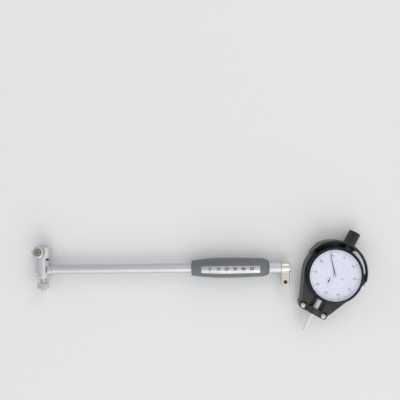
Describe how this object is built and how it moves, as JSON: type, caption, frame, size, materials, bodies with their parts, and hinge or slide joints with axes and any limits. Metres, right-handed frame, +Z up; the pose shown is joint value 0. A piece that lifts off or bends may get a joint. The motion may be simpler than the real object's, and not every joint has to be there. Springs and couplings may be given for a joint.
{
  "type": "dial bore gauge",
  "caption": "Two-point inside-diameter gauge laid out in two halves: measuring head, tube and grip, and a dial indicator in a black guard.",
  "frame": {"origin": "under the middle of the whole layout, on the surface that it lies on", "axes": "+X along the tube from the measuring head to the dial, +Z up from the surface, +Y towards the moving contact"},
  "size_m": [0.3348, 0.1018, 0.0241],
  "materials": {
    "satin_steel": "satin ground",
    "clamp_steel": "satin nickel plate",
    "bright_steel": "bright turned",
    "dark_screw": "black oxide",
    "inner_steel": "plain turned",
    "spring_steel": "drawn wire",
    "grip_grey": "matte, finely grained",
    "label_foil": "mirror foil",
    "guard_black": "satin black",
    "case_black": "satin black",
    "crystal_clear": "clear",
    "dial_white": "matte white",
    "hand_black": "satin black",
    "gear_brass": "plain"
  },
  "bodies": {
    "root": {"head_body": "satin_steel", "crank_pin": "inner_steel", "anvil": "bright_steel", "guide_spring": "spring_steel", "neck_collar": "satin_steel", "tube": "satin_steel", "push_rod_spring": "spring_steel", "rod_bush": "inner_steel", "grip": "grip_grey", "label_plate": "label_foil", "ferrule": "satin_steel", "dial_clamp": "clamp_steel", "clamp_screw": "dark_screw", "dial_case": "case_black", "case_back": "case_black", "back_screws": "bright_steel", "stem_bush": "satin_steel", "top_bush": "satin_steel", "spindle_cap": "case_black", "dial_disc": "dial_white", "guide_rail": "inner_steel", "spindle_spring": "spring_steel", "movement_plate": "gear_brass", "movement_screws": "inner_steel", "hairspring": "spring_steel", "guard_body": "guard_black", "guard_strap": "guard_black", "guard_screws": "bright_steel"},
    "contact": {"contact_plunger": "bright_steel", "contact_tip": "bright_steel"},
    "crank": {"bell_crank": "inner_steel"},
    "rod": {"push_rod": "inner_steel", "push_rod_tip": "bright_steel"},
    "guide": {"guide_sleeve": "satin_steel", "wheel_pin_near": "bright_steel", "wheel_pin_far": "bright_steel"},
    "wheel_near": {"guide_wheel_near": "bright_steel"},
    "wheel_far": {"guide_wheel_far": "bright_steel"},
    "nut": {"lock_nut": "bright_steel"},
    "bezel": {"bezel": "case_black", "crystal": "crystal_clear", "spacer_ring": "dial_white", "dial_ring": "dial_white"},
    "rack_shaft": {"rack_pinion_shaft": "inner_steel", "count_gear": "gear_brass", "small_hand": "hand_black"},
    "spindle": {"spindle": "bright_steel", "contact_point": "bright_steel", "guide_pin": "inner_steel"},
    "centre": {"centre_pinion": "inner_steel", "main_hand": "hand_black"},
    "takeup": {"takeup_gear": "gear_brass"}
  },
  "joints": [
    {"name": "contact_slide", "type": "slide", "parent": "root", "child": "contact", "axis": [0, -1, 0], "range_m": [0, 0.0016], "stiffness_N_per_m": 300, "springref_m": -0.005},
    {"name": "rod_slide", "type": "slide", "parent": "root", "child": "rod", "axis": [1, 0, 0], "range_m": [0, 0.00161], "deforming": ["push_rod_spring"]},
    {"name": "crank_turn", "type": "hinge", "parent": "root", "child": "crank", "pos_m": [-0.1547, 0.01739, 0.0101], "axis": [0, 0, 1], "range_deg": [0, 25.73]},
    {"name": "guide_slide", "type": "slide", "parent": "root", "child": "guide", "axis": [0, -1, 0], "range_m": [0, 0.003], "stiffness_N_per_m": 200, "springref_m": -0.006, "deforming": ["guide_spring"]},
    {"name": "wheel_near_spin", "type": "hinge", "parent": "guide", "child": "wheel_near", "pos_m": [-0.1613, 0.03199, 0.0201], "axis": [0, 0, 1], "continuous": true},
    {"name": "wheel_far_spin", "type": "hinge", "parent": "guide", "child": "wheel_far", "pos_m": [-0.1613, 0.03199, 0.0001], "axis": [0, 0, 1], "continuous": true},
    {"name": "lock_nut_turn", "type": "hinge", "parent": "root", "child": "nut", "pos_m": [-0.1583, 0.00009, 0.0101], "axis": [0, 1, 0], "continuous": true},
    {"name": "bezel_turn", "type": "hinge", "parent": "root", "child": "bezel", "pos_m": [0.1342, 0.00619, 0.0241], "axis": [0, 0, 1], "continuous": true},
    {"name": "rack_shaft_turn", "type": "hinge", "parent": "root", "child": "rack_shaft", "pos_m": [0.12777, 0.00103, 0.0101], "axis": [0, 0, 1], "range_deg": [0, 360]},
    {"name": "spindle_slide", "type": "slide", "parent": "root", "child": "spindle", "axis": [0.4772, 0.8788, 0], "range_m": [0, 0.01001], "stiffness_N_per_m": 60, "springref_m": -0.012, "deforming": ["spindle_spring"]},
    {"name": "main_hand_turn", "type": "hinge", "parent": "root", "child": "centre", "pos_m": [0.1342, 0.00619, 0.0213], "axis": [0, 0, 1], "range_deg": [-3601, 0]},
    {"name": "takeup_turn", "type": "hinge", "parent": "root", "child": "takeup", "pos_m": [0.14064, 0.01135, 0.0153], "axis": [0, 0, 1], "range_deg": [0, 361], "deforming": ["hairspring"]}
  ],
  "couplings": [
    {"joint": "rod_slide", "follows": "contact_slide", "ratio": 1},
    {"joint": "crank_turn", "follows": "contact_slide", "rad_per_m": 280.12},
    {"joint": "spindle_slide", "follows": "rack_shaft_turn", "m_per_rad": 0.0015915},
    {"joint": "main_hand_turn", "follows": "rack_shaft_turn", "ratio": -10},
    {"joint": "takeup_turn", "follows": "rack_shaft_turn", "ratio": 1}
  ]
}
